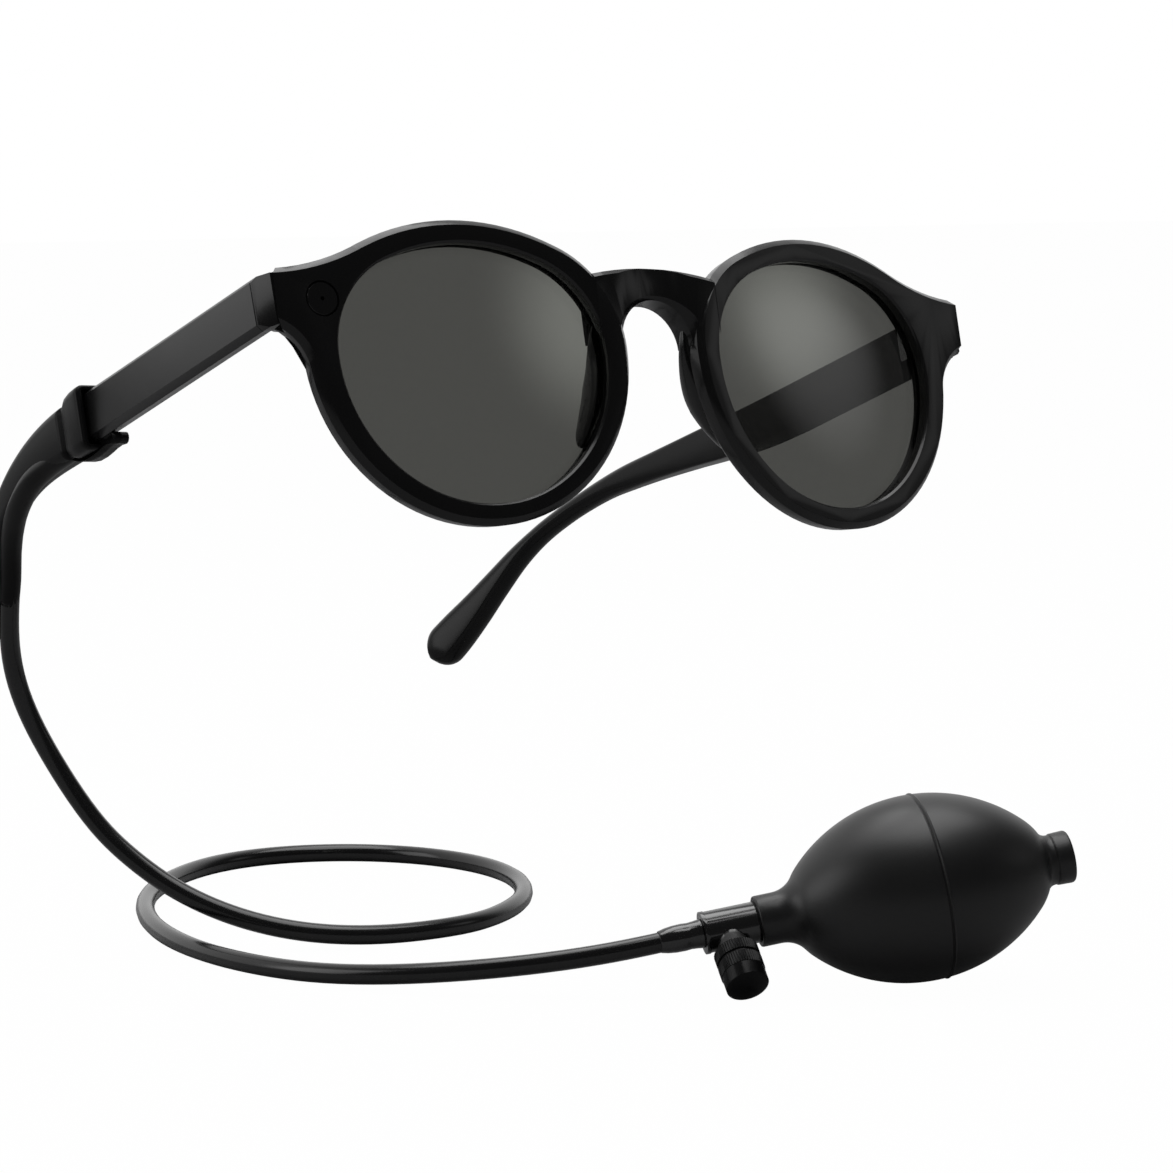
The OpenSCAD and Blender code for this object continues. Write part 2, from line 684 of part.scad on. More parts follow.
module collar() {
    translate([arm_x - arm_t / 2 + collar_out, seam_y + boot_y + collar_l, collar_z]) rotate([90, 0, 0])
        linear_extrude(collar_l) polygon(corner_ring(collar_h, collar_t, 1.4));
    // lug under the temple
    translate([arm_in, 0, 0]) rotate([90, 0, 90]) linear_extrude(2.6) lug_outline();
}

module hose_boot() {
    color([0.05, 0.05, 0.052]) difference() {
        union() {
            leaning_arm(-1) {
                collar();
                ear_hook();
            }
            tube(through(sleeve, 3), [for (i = [0 : 24]) lerp(2.4, 1.95, i / 24)], 12);
        }
        leaning_arm(-1) {
            translate([arm_in - 0.55, seam_y + boot_y - 0.1, arm_bottom - 0.4])
                cube([arm_t + 1.1, 3.7, arm_top - arm_bottom + 0.9]);
            translate([arm_x - arm_t + 0.54, tongue_y, arm_bottom + 0.94]) cube([3.12, tongue_l + 0.1, 5.72]);
            water_bore(tongue_y, tongue_y + tongue_l + 2.6, water_r + 0.04);
        }
    }
}

module hose() {
    q = through(route, 2);
    color([0.03, 0.03, 0.032]) tube(q, [for (p = q) hose_r], hose_n);
}

module hose_ferrule() {
    color([0.03, 0.03, 0.032]) pump() along_x(valve_s - ferrule_l) rotate_extrude() difference() {
        polygon([[0, 0], [hose_r + 0.12, 0], [hose_r + 0.4, 1.2], [hose_r + 0.57, 2.6], [hose_r + 0.6, 4.2],
            [hose_r + 0.52, 5.2], [hose_r + 0.6, 6.2], [hose_r + 0.75, ferrule_l - 0.2],
            [hose_r + 0.75, ferrule_l - 0.05], [0, ferrule_l - 0.05]]);
        translate([-1, -1]) square([1 + hose_r + 0.02, ferrule_l + 2]);
    }
}

// Valve.

module valve_body() {
    color([0.035, 0.035, 0.038]) difference() {
        union() {
            pump() along_x(valve_s) cylinder(h = valve_l, r = valve_r);
            pump() along_x(valve_s) cylinder(h = 0.7, r = valve_r + 0.12);
            pump() along_x(valve_s - 1.9) cylinder(h = 2.5, r = hose_r);
            pump() along_x(neck_s - 0.5) cylinder(h = nose_l, r = nose_r);
            knob_axis() cylinder(h = boss_t, r = boss_r);
        }
        pump() along_x(valve_s - 3) cylinder(h = 22, r = 0.8);
        pump() along_x(neck_s + 0.9) cylinder(h = 2 * outlet_ball_r + ball_travel + 0.1, r = outlet_ball_r + 0.08);
        knob_axis() translate([0, 0, 1.4]) cylinder(h = boss_t, r = stem_r + 0.04);
    }
}

module valve_stem() {
    color([0.72, 0.56, 0.3]) knob_axis() {
        translate([0, 0, 2.0]) cylinder(h = knob_t + 3.4 - 2.0, r = stem_r);
        translate([0, 0, 1.45]) cylinder(h = 0.56, r1 = 0.5, r2 = stem_r);
    }
}

module knurl_band(z0, z1) {
    translate([0, 0, z0]) linear_extrude(z1 - z0)
        polygon([for (i = [0 : 2 * knurls - 1]) let (r = knob_r - (i % 2) * 0.14)
            [r * cos(180 * i / knurls), r * sin(180 * i / knurls)]]);
}

module release_knob() {
    color([0.05, 0.05, 0.052]) knob_axis() translate([0, 0, knob_t]) difference() {
        union() {
            knurl_band(0.3, 2.3);
            cylinder(h = knob_l - 1.6, r = knob_r - 0.35);
            knurl_band(2.9, 5.2);
            translate([0, 0, 5.2]) rotate_extrude() difference() {
                union() {
                    square([knob_r - 0.15, knob_l - 5.2 - 0.9]);
                    intersection() {
                        translate([0, knob_l - 5.2 - 14]) circle(14);
                        square([knob_r - 0.15, knob_l]);
                    }
                }
                translate([-30, -1]) square([30, 20]);
            }
        }
        translate([0, 0, -1]) cylinder(h = 4.55, r = stem_r + 0.03);
    }
}

module outlet_ball() {
    color([0.75, 0.75, 0.77]) pump() translate([neck_s + 0.95 + outlet_ball_r, 0, 0]) sphere(outlet_ball_r);
}

// Bulb.

// Lower half plane profile of the bulb body shrunk by d, x is the radius and y runs along the axis.
module bulb_profile(d) {
    e = bulb_a - bulb_end_r;
    ends = [body_s - e, body_s + e];
    intersection() {
        translate([bulb_r - big_r, body_s]) circle(big_r - d, $fn = 180);
        translate([0, 0]) polygon([[bulb_r - big_r, body_s],
            [bulb_r - big_r + 3 * (big_r - bulb_r), body_s - 3 * e],
            [60, body_s - 40], [60, body_s + 40],
            [bulb_r - big_r + 3 * (big_r - bulb_r), body_s + 3 * e]]);
    }
    for (y = ends) translate([0, y]) circle(bulb_end_r - d);
}

module bulb() {
    color([0.06, 0.06, 0.062]) pump() rotate([0, 90, 0]) rotate_extrude($fn = 128) intersection() {
        translate([0, -60]) square([60, 120]);
        difference() {
            union() {
                bulb_profile(0);
                translate([0, neck_s]) square([neck_r, 10]);
                difference() {
                    translate([0, fillet_s]) square([neck_r + 2.1, 5]);
                    translate([neck_r + neck_fillet, fillet_s]) circle(neck_fillet);
                }
                translate([0, tail_fillet_s - 2.6]) difference() {
                    square([tail_contact_r, 2.7]);
                    translate([tail_neck_r + tail_fillet, 2.6]) circle(tail_fillet);
                }
                polygon([[0, tail_fillet_s], [tail_neck_r, tail_fillet_s], [tail_neck_r, tail_fillet_s + 0.2],
                    [tail_r - 0.1, tail_fillet_s + 0.4], [tail_r + 0.05, tail_s - 0.4], [tail_r - 0.1, tail_s - 0.1],
                    [tail_r - 0.3, tail_s], [0, tail_s]]);
                translate([bulb_r - big_r + sqrt(big_r * big_r - pow(seam_s - body_s, 2)), seam_s]) circle(0.2);
            }
            bulb_profile(bulb_wall);
            translate([0, neck_s - 1]) square([nose_r + 0.05, 14]);
            translate([0, 15]) square([2.7, 20]);
        }
    }
}

module inlet_plug() {
    color([0.045, 0.045, 0.048]) pump() difference() {
        union() {
            along_x(21.7) cylinder(h = tail_s - 21.7 - 0.5, r = 2.65);
            along_x(21.7) cylinder(h = 0.9, r = 3.3);
        }
        along_x(20) cylinder(h = 12, r = 1.0);
        along_x(22.0) cylinder(h = 2 * inlet_ball_r + ball_travel + 0.1, r = inlet_ball_r + 0.08);
    }
}

module inlet_ball() {
    color([0.75, 0.75, 0.77]) pump() translate([22.05 + inlet_ball_r, 0, 0]) sphere(inlet_ball_r);
}

front_frame();
lens_right();
lens_left();
nozzle_cap();
nozzle_jet();
water_elbow();
hinge_leaf_front_right();
hinge_leaf_front_left();
hinge_screw_right();
hinge_screw_left();
temple_right();
hinge_leaf_temple_right();
water_tube();
hose_boot();
hose();
hose_ferrule();
valve_body();
bulb();
inlet_plug();
temple_left();
hinge_leaf_temple_left();
valve_stem();
release_knob();
outlet_ball();
inlet_ball();
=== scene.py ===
"""Water squirting prank glasses: round sunglasses with a hose behind the right ear and a squeeze bulb.

Metres, in the CAD frame: +Z up, the wearer looks along -Y, the origin is the nose rest.
"""

import math

import bpy
import numpy as np
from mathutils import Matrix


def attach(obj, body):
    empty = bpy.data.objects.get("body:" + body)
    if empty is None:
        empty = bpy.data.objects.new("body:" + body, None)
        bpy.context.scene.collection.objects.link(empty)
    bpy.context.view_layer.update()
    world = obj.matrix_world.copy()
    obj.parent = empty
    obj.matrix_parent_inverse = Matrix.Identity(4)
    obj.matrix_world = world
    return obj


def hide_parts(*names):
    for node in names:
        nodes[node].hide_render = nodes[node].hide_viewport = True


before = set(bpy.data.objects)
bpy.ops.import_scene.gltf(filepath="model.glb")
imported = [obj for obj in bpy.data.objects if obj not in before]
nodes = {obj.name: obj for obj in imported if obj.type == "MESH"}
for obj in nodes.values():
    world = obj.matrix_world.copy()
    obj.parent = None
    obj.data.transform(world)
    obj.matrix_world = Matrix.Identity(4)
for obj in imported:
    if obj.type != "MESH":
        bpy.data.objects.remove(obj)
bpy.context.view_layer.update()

# The camera stands close to the ground of the photograph, with a long lens. It looks slightly down, from the
# front and from the wearer's right.
PHOTO_PX = 1173
FOCAL_PX = 4500.0
SENSOR_MM = 36.0
CAMERA_AT = (-0.44956, -0.59180, 0.04262)
CAMERA_TILT, CAMERA_YAW = 84.0, -36.31
cam_data = bpy.data.cameras.new("photo_view")
cam_data.sensor_width = SENSOR_MM
cam_data.sensor_height = SENSOR_MM
cam_data.sensor_fit = "AUTO"
cam_data.lens = SENSOR_MM * FOCAL_PX / PHOTO_PX
cam_data.clip_start = 0.01
cam_data.clip_end = 20.0
camera = bpy.data.objects.new("photo_view", cam_data)
camera.location = CAMERA_AT
camera.rotation_euler = (math.radians(CAMERA_TILT), 0.0, math.radians(CAMERA_YAW))
bpy.context.scene.collection.objects.link(camera)
bpy.context.scene.camera = camera
bpy.context.scene.view_settings.view_transform = "Standard"

# The hose is a length of glossy black rubber tube, 3.5 mm thick. It leaves the boot behind the ear, drops to
# the ground, lies there in one open loop over itself and runs up into the valve of the bulb.
HOSE_D = 0.0035
HOSE_MM = [
    [-65.5, 101.5, -38.5], [-63.9, 105.5, -47], [-62, 108, -55], [-59.3, 108, -63], [-55, 106.5, -72],
    [-50, 101, -83], [-46, 96.5, -88.5], [-41.5, 91.5, -93.5], [-36, 86, -97.5], [-29.5, 81, -100.5],
    [-22, 76, -102.5], [-13.5, 72.5, -103.5], [-4, 71, -104], [7, 71, -104], [15, 73, -104],
    [23, 77.5, -104], [32, 84.5, -104], [39.5, 93.5, -104], [45.5, 103.5, -104], [49.5, 115, -104],
    [50.5, 127, -104], [47.5, 139.5, -104], [40, 150, -104], [29.5, 156, -104], [18, 157.5, -104],
    [5, 154, -104], [-9.5, 143.5, -104], [-20.5, 132, -104], [-30, 117, -104], [-37, 101, -104],
    [-41, 85, -104], [-42, 70, -104], [-39.5, 54.5, -104], [-34, 41, -103.5], [-24, 27, -102],
    [-11, 15.5, -100], [0, 8.5, -98], [10, 3.5, -95.8]]


def smooth_through(points, steps):
    """Catmull-Rom: for neighbours a, b, c, d the curve from b to c is
    (2b + (c-a)t + (2a-5b+4c-d)t^2 + (3b-a-3c+d)t^3) / 2."""
    p = np.asarray(points, float)
    p = np.vstack([2 * p[0] - p[1], p, 2 * p[-1] - p[-2]])[:, None]
    t = np.arange(steps)[None, :, None] / steps
    a, b, c, d = p[:-3], p[1:-2], p[2:-1], p[3:]
    run = 0.5 * (2 * b + (c - a) * t + (2 * a - 5 * b + 4 * c - d) * t**2 + (3 * b - a - 3 * c + d) * t**3)
    return np.vstack([run.reshape(-1, p.shape[-1]), p[-2]])


def link(name, data):
    """A new object of that name, at the origin, unturned and unscaled."""
    obj = bpy.data.objects.new(name, data)
    bpy.context.scene.collection.objects.link(obj)
    return obj


hose_line = smooth_through(HOSE_MM, 5) / 1000
for _ in range(3):  # the rubber evens out its bends: each point moves to the mean of its neighbours
    near = [hose_line[:-4], hose_line[1:-3], hose_line[2:-2], hose_line[3:-1], hose_line[4:]]
    hose_line[2:-2] = sum(near) / len(near)
hose_curve = bpy.data.curves.new("hose_tube", "CURVE")
hose_curve.dimensions = "3D"
hose_curve.bevel_depth = HOSE_D / 2
hose_curve.bevel_resolution = 5
hose_curve.use_fill_caps = True
spline = hose_curve.splines.new("POLY")
spline.points.add(len(hose_line) - 1)
spline.points.foreach_set("co", np.hstack([hose_line, np.ones((len(hose_line), 1))]).ravel())
spline.use_smooth = True
hose = link("hose_tube", hose_curve)


def node(tree, kind, inputs, **settings):
    """A new shader node of that kind. An input, by name or number, is a value or the socket that feeds it."""
    made = tree.nodes.new(kind)
    for key, value in settings.items():
        setattr(made, key, value)
    for key, value in inputs.items():
        if isinstance(value, bpy.types.NodeSocket):
            tree.links.new(value, made.inputs[key])
        else:
            made.inputs[key].default_value = value
    return made


def maths(tree, operation, *values):
    """What a Math node of that operation makes of values and sockets."""
    return node(tree, "ShaderNodeMath", dict(enumerate(values)), operation=operation).outputs["Value"]


# What moulding leaves on rubber and plastic: broad changes of tone and gloss where the melt flowed in the
# mould, and the fine texture of the mould's wall.
FLOWS_PER_METRE, LEAST_TONE, TONE_SPREAD, RELIEF_DEPTH = 90.0, 0.8, 0.4, 0.0001
moulded = bpy.data.node_groups.new("moulded_skin", "ShaderNodeTree")
for way, title, kind in (("INPUT", "Colour", "Color"), ("INPUT", "Roughness", "Float"),
                         ("INPUT", "Roughness Spread", "Float"), ("INPUT", "Grains per Metre", "Float"),
                         ("OUTPUT", "Colour", "Color"), ("OUTPUT", "Roughness", "Float"),
                         ("OUTPUT", "Height", "Float")):
    moulded.interface.new_socket(title, in_out=way, socket_type="NodeSocket" + kind)
given = moulded.nodes.new("NodeGroupInput")
place = moulded.nodes.new("ShaderNodeTexCoord").outputs["Object"]
flow = node(moulded, "ShaderNodeTexNoise",
            {"Vector": place, "Scale": FLOWS_PER_METRE, "Detail": 4.0}).outputs["Fac"]
grain = node(moulded, "ShaderNodeTexNoise",
             {"Vector": place, "Scale": given.outputs["Grains per Metre"], "Detail": 3.0})
strength = maths(moulded, "MULTIPLY_ADD", flow, TONE_SPREAD, LEAST_TONE)
tone = node(moulded, "ShaderNodeVectorMath", {0: given.outputs["Colour"], "Scale": strength},
            operation="SCALE")
gloss = maths(moulded, "MULTIPLY_ADD", maths(moulded, "SUBTRACT", flow, 0.5),
              given.outputs["Roughness Spread"], given.outputs["Roughness"])
node(moulded, "NodeGroupOutput",
     {"Colour": tone.outputs[0], "Roughness": gloss, "Height": grain.outputs["Fac"]})


def plastic(name, colour, rough, spread=0.12, grains=2500.0, bump=0.02, spec=0.5, metal=0.0):
    """A material of the moulded skin, with its own colour, gloss, grain, bump strength and specular level."""
    mat = bpy.data.materials.new(name)
    mat.use_nodes = True
    tree = mat.node_tree
    cover = node(tree, "ShaderNodeGroup",
                 {"Colour": (*colour, 1), "Roughness": rough, "Roughness Spread": spread,
                  "Grains per Metre": grains}, node_tree=moulded, name="cover")
    relief = node(tree, "ShaderNodeBump",
                  {"Strength": bump, "Distance": RELIEF_DEPTH, "Height": cover.outputs["Height"]})
    bsdf = tree.nodes["Principled BSDF"]
    tree.links.new(cover.outputs["Colour"], bsdf.inputs["Base Color"])
    tree.links.new(cover.outputs["Roughness"], bsdf.inputs["Roughness"])
    tree.links.new(relief.outputs["Normal"], bsdf.inputs["Normal"])
    bsdf.inputs["IOR"].default_value = 1.5
    bsdf.inputs["Specular IOR Level"].default_value = spec
    bsdf.inputs["Metallic"].default_value = metal
    return mat


def paint(obj, mat):
    """mat as the only material of obj."""
    obj.data.materials.clear()
    obj.data.materials.append(mat)
    return obj


paint(hose, plastic("hose_rubber", (0.004, 0.004, 0.0042), 0.2, 0.1, 1700.0, 0.03, 0.45))
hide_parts("hose")
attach(hose, "right_temple")

# A plain pale floor just under the hose, a white surround and three soft lamps. The floor and the surround
# show as the photograph's white, also through the lenses, while the light on the object stays plain.
FLOOR_Z, FLOOR_WHITE, FLOOR_WHITE_SHARE = -0.1058, 1.012, 0.975
FLOOR_CORNERS = [(-4, -4, FLOOR_Z), (4, -4, FLOOR_Z), (4, 4, FLOOR_Z), (-4, 4, FLOOR_Z)]
floor_mesh = bpy.data.meshes.new("floor")
floor_mesh.from_pydata(FLOOR_CORNERS, [], [(0, 1, 2, 3)])
floor = link("floor", floor_mesh)
floor_mat = bpy.data.materials.new("pale_floor")
floor_mat.use_nodes = True
floor_tree = floor_mat.node_tree
floor_bsdf = floor_tree.nodes["Principled BSDF"]
floor_bsdf.inputs["Base Color"].default_value = (0.24, 0.24, 0.243, 1)
floor_bsdf.inputs["Roughness"].default_value = 0.9
white_floor = node(floor_tree, "ShaderNodeEmission", {"Color": (1, 1, 1, 1), "Strength": FLOOR_WHITE})


def looked_at(tree):
    """1 for what the camera sees straight or through glass, else 0."""
    rays = tree.nodes.new("ShaderNodeLightPath")
    return maths(tree, "MAXIMUM", rays.outputs["Is Camera Ray"], rays.outputs["Is Transmission Ray"])


floor_share = maths(floor_tree, "MULTIPLY", looked_at(floor_tree), FLOOR_WHITE_SHARE)
floor_mix = node(floor_tree, "ShaderNodeMixShader",
                 {"Fac": floor_share, 1: floor_bsdf.outputs["BSDF"], 2: white_floor.outputs["Emission"]})
floor_tree.links.new(floor_mix.outputs["Shader"], floor_tree.nodes["Material Output"].inputs["Surface"])
paint(floor, floor_mat)

AMBIENT, BACKDROP, WINDOW = 0.06, 0.85, 0.6
BACKDROP_AT, BACKDROP_FADE = (0.1, 1.0, 0.1), (0.0, 0.6)
WINDOW_AT, WINDOW_FADE = (0.79, -0.50, 0.36), (0.981, 1.0)
world = bpy.data.worlds.new("studio")
bpy.context.scene.world = world
world.use_nodes = True
room_tree = world.node_tree


def facing(direction, fade):
    """How far a ray turns towards the direction: 0 below the fade's first cosine, 1 above its second."""
    ray = room_tree.nodes.new("ShaderNodeTexCoord").outputs["Generated"]
    aim = np.array(direction, float)
    cosine = node(room_tree, "ShaderNodeVectorMath", {0: ray, 1: tuple(aim / np.linalg.norm(aim))},
                  operation="DOT_PRODUCT").outputs["Value"]
    return node(room_tree, "ShaderNodeMapRange",
                {"Value": cosine, "From Min": fade[0], "From Max": fade[1]},
                interpolation_type="SMOOTHSTEP").outputs["Result"]


light = maths(room_tree, "MULTIPLY_ADD", facing(BACKDROP_AT, BACKDROP_FADE), BACKDROP, AMBIENT)
light = maths(room_tree, "MULTIPLY_ADD", facing(WINDOW_AT, WINDOW_FADE), WINDOW, light)
room = room_tree.nodes["Background"]
room.inputs["Color"].default_value = (1, 1, 1, 1)
room_tree.links.new(light, room.inputs["Strength"])
white_room = node(room_tree, "ShaderNodeBackground", {"Color": (1, 1, 1, 1)})
room_mix = node(room_tree, "ShaderNodeMixShader",
                {"Fac": looked_at(room_tree), 1: room.outputs["Background"],
                 2: white_room.outputs["Background"]})
room_tree.links.new(room_mix.outputs["Shader"], room_tree.nodes["World Output"].inputs["Surface"])


def lamp(name, at, aim, size, power):
    """A rectangular soft lamp at a point, turned towards another."""
    data = bpy.data.lights.new(name, "AREA")
    data.shape = "RECTANGLE"
    data.size, data.size_y = size
    data.energy = power
    obj = link(name, data)
    obj.location = at
    x, y, z = np.subtract(aim, at)
    obj.rotation_euler = (math.atan2(math.hypot(x, y), -z), 0.0, math.atan2(y, x) - math.pi / 2)
    return obj


lamp("lamp_top", (0.1, 0.1, 0.9), (0.0, 0.05, -0.05), (0.9, 0.9), 9.0)
lamp("lamp_left", (-0.9, 0.3, 0.35), (0.0, 0.0, -0.03), (0.5, 0.7), 2.2)
lamp("lamp_front", (-0.5, -1.0, 0.5), (0.0, 0.0, -0.03), (0.5, 0.7), 5.0).visible_glossy = False

# The moulded glossy black front: rims, keyhole bridge, endpieces and nose pads are one piece, and its edges
# are polished round. The solid has the pads' place and size, and each gets its soft rounded form here. A
# domed cap of the same plastic is pressed in the right rim, over the jet.
EDGE_WIDTH, SAME_PLACE, FLAT_WITHIN, SHARP_FROM = 0.00028, 2e-6, 0.6, 22
frame_black = plastic("frame_black", (0.003, 0.003, 0.0031), 0.2, 0.08, 1600.0, 0.012, 0.32)


def softened(name, width):
    """A CAD piece's sharp edges rounded off: points at one place merged, flat triangles joined, edges
    bevelled."""
    obj = nodes[name]
    weld = obj.modifiers.new("weld", "WELD")
    weld.merge_threshold = SAME_PLACE
    flat = obj.modifiers.new("flat", "DECIMATE")
    flat.decimate_type = "DISSOLVE"
    flat.angle_limit = math.radians(FLAT_WITHIN)
    edge = obj.modifiers.new("edge", "BEVEL")
    edge.width = width
    edge.segments = 3
    edge.limit_method = "ANGLE"
    edge.angle_limit = math.radians(SHARP_FROM)
    edge.harden_normals = True
    obj.data.polygons.foreach_set("use_smooth", np.ones(len(obj.data.polygons), bool))
    return obj


paint(softened("front_frame", EDGE_WIDTH), frame_black)
paint(nodes["nozzle_cap"], frame_black)
PAD_ROWS = np.array([  # height, then middle and half size across and in depth
    [8.9, 9.3, 0.7, 0.6, 0.4], [8.5, 9.35, 0.75, 1.9, 1.05], [7.6, 9.5, 0.9, 2.75, 1.7],
    [5.6, 9.7, 1.3, 3.05, 2.2], [3.4, 9.8, 1.9, 2.9, 2.7], [1.0, 10.05, 2.4, 2.65, 3.3],
    [-1.4, 10.55, 2.65, 2.6, 3.75], [-3.6, 11.15, 2.75, 2.55, 3.8], [-5.8, 12.05, 2.85, 2.45, 3.5],
    [-8.0, 13.2, 2.8, 2.3, 3.0],
    [-10.0, 14.35, 2.65, 2.1, 2.4], [-11.6, 15.2, 2.5, 1.6, 1.7], [-12.3, 15.6, 2.4, 1.0, 1.1],
    [-12.6, 15.75, 2.4, 0.4, 0.4]])


def turned(axis, degrees):
    """The 3 by 3 matrix of a turn of so many degrees about X, Y or Z."""
    c, s = math.cos(math.radians(degrees)), math.sin(math.radians(degrees))
    if axis == "X":
        return np.array([[1, 0, 0], [0, c, -s], [0, s, c]])
    if axis == "Y":
        return np.array([[c, 0, s], [0, 1, 0], [-s, 0, c]])
    return np.array([[c, -s, 0], [s, c, 0], [0, 0, 1]])


GLASSES = turned("Y", 3.5) @ turned("X", -21.5)  # how the glasses stood before the camera
LEANED = GLASSES @ turned("X", 4.5)  # the front leans back a little on its temples


def net(grid, ring):
    """Points and faces of a grid in millimetres: row i, column j joins row i + 1 and column j + 1, and the
    columns run round. The rows run round too in a ring, else a face fills the first and the last. The faces
    are turned over where the volume, the sum of centre . (diagonal x diagonal), is negative."""
    n, m = grid.shape[:2]
    i, j = np.meshgrid(np.arange(n if ring else n - 1), np.arange(m), indexing="ij")
    next_i, next_j = (i + 1) % n, (j + 1) % m
    quads = np.stack([i * m + j, i * m + next_j, next_i * m + next_j, next_i * m + j], axis=-1)
    quads = quads.reshape(-1, 4)
    ends = [] if ring else [np.arange(m - 1, -1, -1), np.arange((n - 1) * m, n * m)]
    points = grid.reshape(-1, 3)
    a, b, c, d = points[quads].transpose(1, 0, 2)
    if np.einsum("ij,ij->i", (a + b + c + d) / 4 - points.mean(axis=0), np.cross(c - a, d - b)).sum() < 0:
        quads, ends = quads[:, ::-1], [end[::-1] for end in ends]
    return points / 1000, quads, ends


def skin(name, grids, mat, ring=False):
    """One smooth object from one or more closed grids."""
    points, faces, base = [], [], 0
    for grid in grids:
        p, quads, ends = net(grid, ring)
        points.append(p)
        faces += (quads + base).tolist() + [(end + base).tolist() for end in ends]
        base += len(p)
    mesh = bpy.data.meshes.new(name)
    mesh.from_pydata(np.vstack(points).tolist(), [], faces)
    mesh.polygons.foreach_set("use_smooth", np.ones(len(mesh.polygons), bool))
    mesh.update()
    return paint(link(name, mesh), mat)


def pad_grid(side):
    """Level ellipses (x + a cos t, y + b sin t) down the pad; their numbers run smoothly through PAD_ROWS."""
    rows = smooth_through(PAD_ROWS, 5)
    t = np.linspace(0, 2 * math.pi, 40, endpoint=False)
    z, x, y, a, b = (rows[:, k, None] for k in range(5))
    grid = np.stack([x + a * np.cos(t), y + b * np.sin(t), z + 0 * t], axis=-1)
    grid[..., 0] *= side
    return grid @ LEANED.T


pads = skin("nose_pads", [pad_grid(-1), pad_grid(1)], frame_black)
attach(pads, "front")

# Two round sunglass lenses of grey tinted plastic, 1.6 mm thick and bowed forwards like the glass of a
# watch, are held in a groove round each opening. Round one place of each, towards the nose, the tint is
# painted lighter: a painted glow of reflected light.
LENS_W, LENS_TOP, LENS_MID, LENS_SHOULDER, LENS_CX, WRAP = 24.65, 20.8, 2.2, 17.0, 36.3, 6.0
LENS_EDGE, LENS_THICK, LENS_SAG, LENS_IN = 1.98, 1.6, 1.7, 0.62
# A painted glow: round a spot towards the nose, each lens's colour is lighter, standing in for reflected
# light.
GLOW_MIDDLE, GLOW_AT, GLOW_REACH = 0.0085, (0.0223, 0.0, 0.0084), 0.0225
PAINTED_GLOW_TINT, LENS_DYE = (0.161, 0.165, 0.151, 1), (0.067, 0.0675, 0.0625, 1)


def eye_outline(angle, grow):
    """Distance from the lens's middle to its edge at each angle: a round below, and above it tighter
    shoulders as far as the direction of their joint with a flat arc."""
    aside, rise = LENS_W - LENS_SHOULDER, LENS_TOP - LENS_MID
    flat_r = (rise * rise + aside * aside - LENS_SHOULDER**2) / (2 * (rise - LENS_SHOULDER))
    flat_z = LENS_TOP - flat_r - LENS_MID
    c, s = np.abs(np.cos(angle)), np.sin(angle)
    side = aside * c + np.sqrt(np.maximum((LENS_SHOULDER + grow) ** 2 - (aside * s) ** 2, 0))
    top = flat_z * s + np.sqrt(np.maximum((flat_r + grow) ** 2 - (flat_z * c) ** 2, 0))
    joint = np.array([0, flat_z]) + (flat_r + grow) * np.array([aside, -flat_z]) / math.hypot(aside, flat_z)
    upper = np.where(s * joint[0] > c * joint[1], top, side)
    return np.where(s < 0, LENS_W + grow, upper)


def lens_grid(side):
    """Rings out from the middle on the front, round the edge and back in: y = edge - sag (1 - f^2)."""
    phi = np.linspace(0, 2 * math.pi, 180, endpoint=False)
    f = np.concatenate([[0.001], np.sin(np.linspace(0.03, math.pi / 2, 30))])[:, None]
    reach = eye_outline(phi, LENS_IN)
    front = np.stack([f * reach * np.cos(phi), LENS_EDGE - LENS_SAG * (1 - f**2) + 0 * phi,
                      LENS_MID + f * reach * np.sin(phi)], axis=-1)
    back = front[::-1].copy()
    back[..., 1] += LENS_THICK
    grid = np.concatenate([front, back]) @ turned("Z", WRAP).T + np.array([LENS_CX, 0, 0])
    grid[..., 0] *= side
    return grid @ LEANED.T


tint = bpy.data.materials.new("lens_tint")
tint.use_nodes = True
tint_tree = tint.node_tree
tint_at = tint_tree.nodes.new("ShaderNodeTexCoord").outputs["Object"]
spot = node(tint_tree, "ShaderNodeSeparateXYZ", {0: tint_at})
# both lenses have their painted glow as far to the side of this middle
sideways = maths(tint_tree, "ABSOLUTE", maths(tint_tree, "SUBTRACT", spot.outputs["X"], GLOW_MIDDLE))
both_eyes = node(tint_tree, "ShaderNodeCombineXYZ", {"X": sideways, "Z": spot.outputs["Z"]})
away = node(tint_tree, "ShaderNodeVectorMath", {0: both_eyes.outputs[0], 1: GLOW_AT}, operation="DISTANCE")
fade = node(tint_tree, "ShaderNodeMapRange",
            {"Value": away.outputs["Value"], "From Min": 0.0, "From Max": GLOW_REACH},
            interpolation_type="SMOOTHERSTEP")
# painted glow: the lens tint is mixed towards a lighter colour near the spot, for reflected light
tint_and_glow = node(tint_tree, "ShaderNodeMix", {"Factor": fade.outputs["Result"], "A": PAINTED_GLOW_TINT, "B": LENS_DYE},
           data_type="RGBA")
tint_bsdf = tint_tree.nodes["Principled BSDF"]
tint_tree.links.new(tint_and_glow.outputs["Result"], tint_bsdf.inputs["Base Color"])
tint_bsdf.inputs["Transmission Weight"].default_value = 1.0
tint_bsdf.inputs["Roughness"].default_value = 0.0
tint_bsdf.inputs["IOR"].default_value = 1.58
for side, name in ((-1, "lens_right"), (1, "lens_left")):
    pane = skin(name + "_tinted", [lens_grid(side)], tint)
    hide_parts(name)
    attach(pane, "front")

